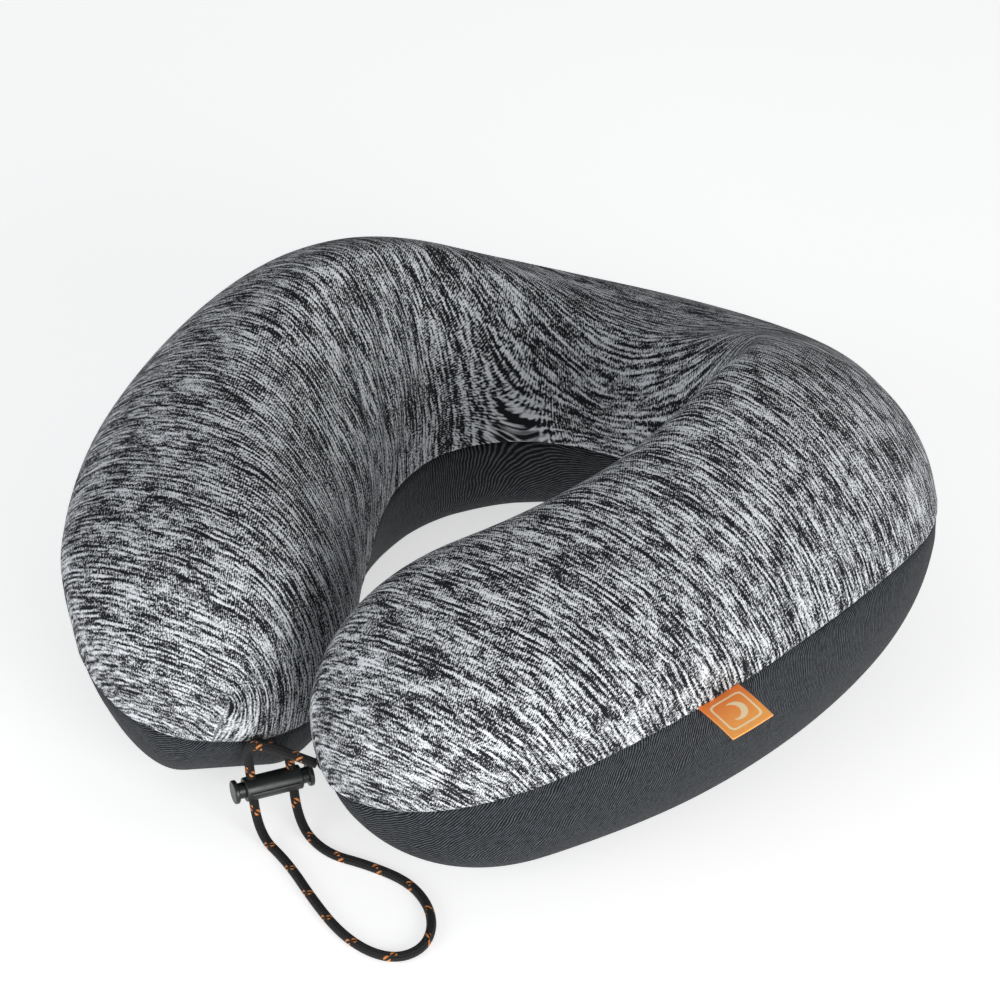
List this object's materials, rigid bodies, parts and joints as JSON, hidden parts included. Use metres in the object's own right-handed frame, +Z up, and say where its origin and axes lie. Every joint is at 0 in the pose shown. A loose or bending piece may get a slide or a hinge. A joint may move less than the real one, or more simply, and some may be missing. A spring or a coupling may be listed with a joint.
{
  "type": "neck pillow",
  "caption": "U shaped travel neck pillow: foam core in a zipped two-tone fabric cover, with a draw cord and sliding double-button cord lock between the arm tips.",
  "frame": {"origin": "on the resting surface, under the middle of the pillow's footprint", "axes": "+Z up, arms point along -Y, +X towards the arm with the woven label"},
  "size_m": [0.2896, 0.3395, 0.1269],
  "materials": {
    "foam": "open-cell memory foam, matte",
    "liner_jersey": "thin stretch knit, matte",
    "heather_jersey": "heather knit, dark ground with light flecks",
    "charcoal_twill": "fine woven ribs, soft sheen",
    "zip_tape": "woven tape",
    "zip_coil": "nylon coil",
    "zip_metal": "dark enamel, satin",
    "orange_label": "woven label, soft satin",
    "satin_label": "blank printed-satin ribbon",
    "tack_thread": "dense stitched thread",
    "braided_cord": "braid with orange flecks",
    "lock_plastic": "satin moulded plastic",
    "spring_steel": "drawn wire"
  },
  "bodies": {
    "pillow": {"foam_core": "foam", "foam_liner": "liner_jersey", "cover_top_panel": "heather_jersey", "cover_base_panel": "charcoal_twill", "zip_tape_upper": "zip_tape", "zip_tape_lower": "zip_tape", "zip_coil_upper": "zip_coil", "zip_coil_lower": "zip_coil", "zip_stop_start": "zip_metal", "zip_stop_end": "zip_metal", "woven_label": "orange_label", "care_label": "satin_label", "cord_anchor_near": "tack_thread", "cord_anchor_far": "tack_thread", "draw_cord": "braided_cord"},
    "zip_slider": {"zip_slider_body": "zip_metal"},
    "zip_pull": {"zip_pull_tab": "zip_metal"},
    "cord_lock": {"cord_lock_barrel": "lock_plastic", "cord_lock_spring": "spring_steel"},
    "lock_button_left": {"cord_lock_button_left": "lock_plastic"},
    "lock_button_right": {"cord_lock_button_right": "lock_plastic"}
  },
  "joints": [
    {"name": "zip_travel", "type": "hinge", "parent": "pillow", "child": "zip_slider", "pos_m": [0, 0.031, 0.042], "axis": [0, 0, 1], "range_deg": [-68, 0]},
    {"name": "zip_pull_swing", "type": "hinge", "parent": "zip_slider", "child": "zip_pull", "pos_m": [-0.07298, 0.1392, 0.042], "axis": [0, 0, 1], "range_deg": [-172, 0]},
    {"name": "lock_slide", "type": "slide", "parent": "pillow", "child": "cord_lock", "axis": [0.16, -0.12, -0.9798], "range_m": [0, 0.003]},
    {"name": "button_left_press", "type": "slide", "parent": "cord_lock", "child": "lock_button_left", "axis": [0.6, 0.8, 0], "range_m": [0, 0.002], "stiffness_N_per_m": 900, "springref_m": -0.004, "deforming": ["cord_lock_spring"]},
    {"name": "button_right_press", "type": "slide", "parent": "cord_lock", "child": "lock_button_right", "axis": [-0.6, -0.8, 0], "range_m": [0, 0.002], "stiffness_N_per_m": 900, "springref_m": -0.004, "deforming": ["cord_lock_spring"]}
  ]
}
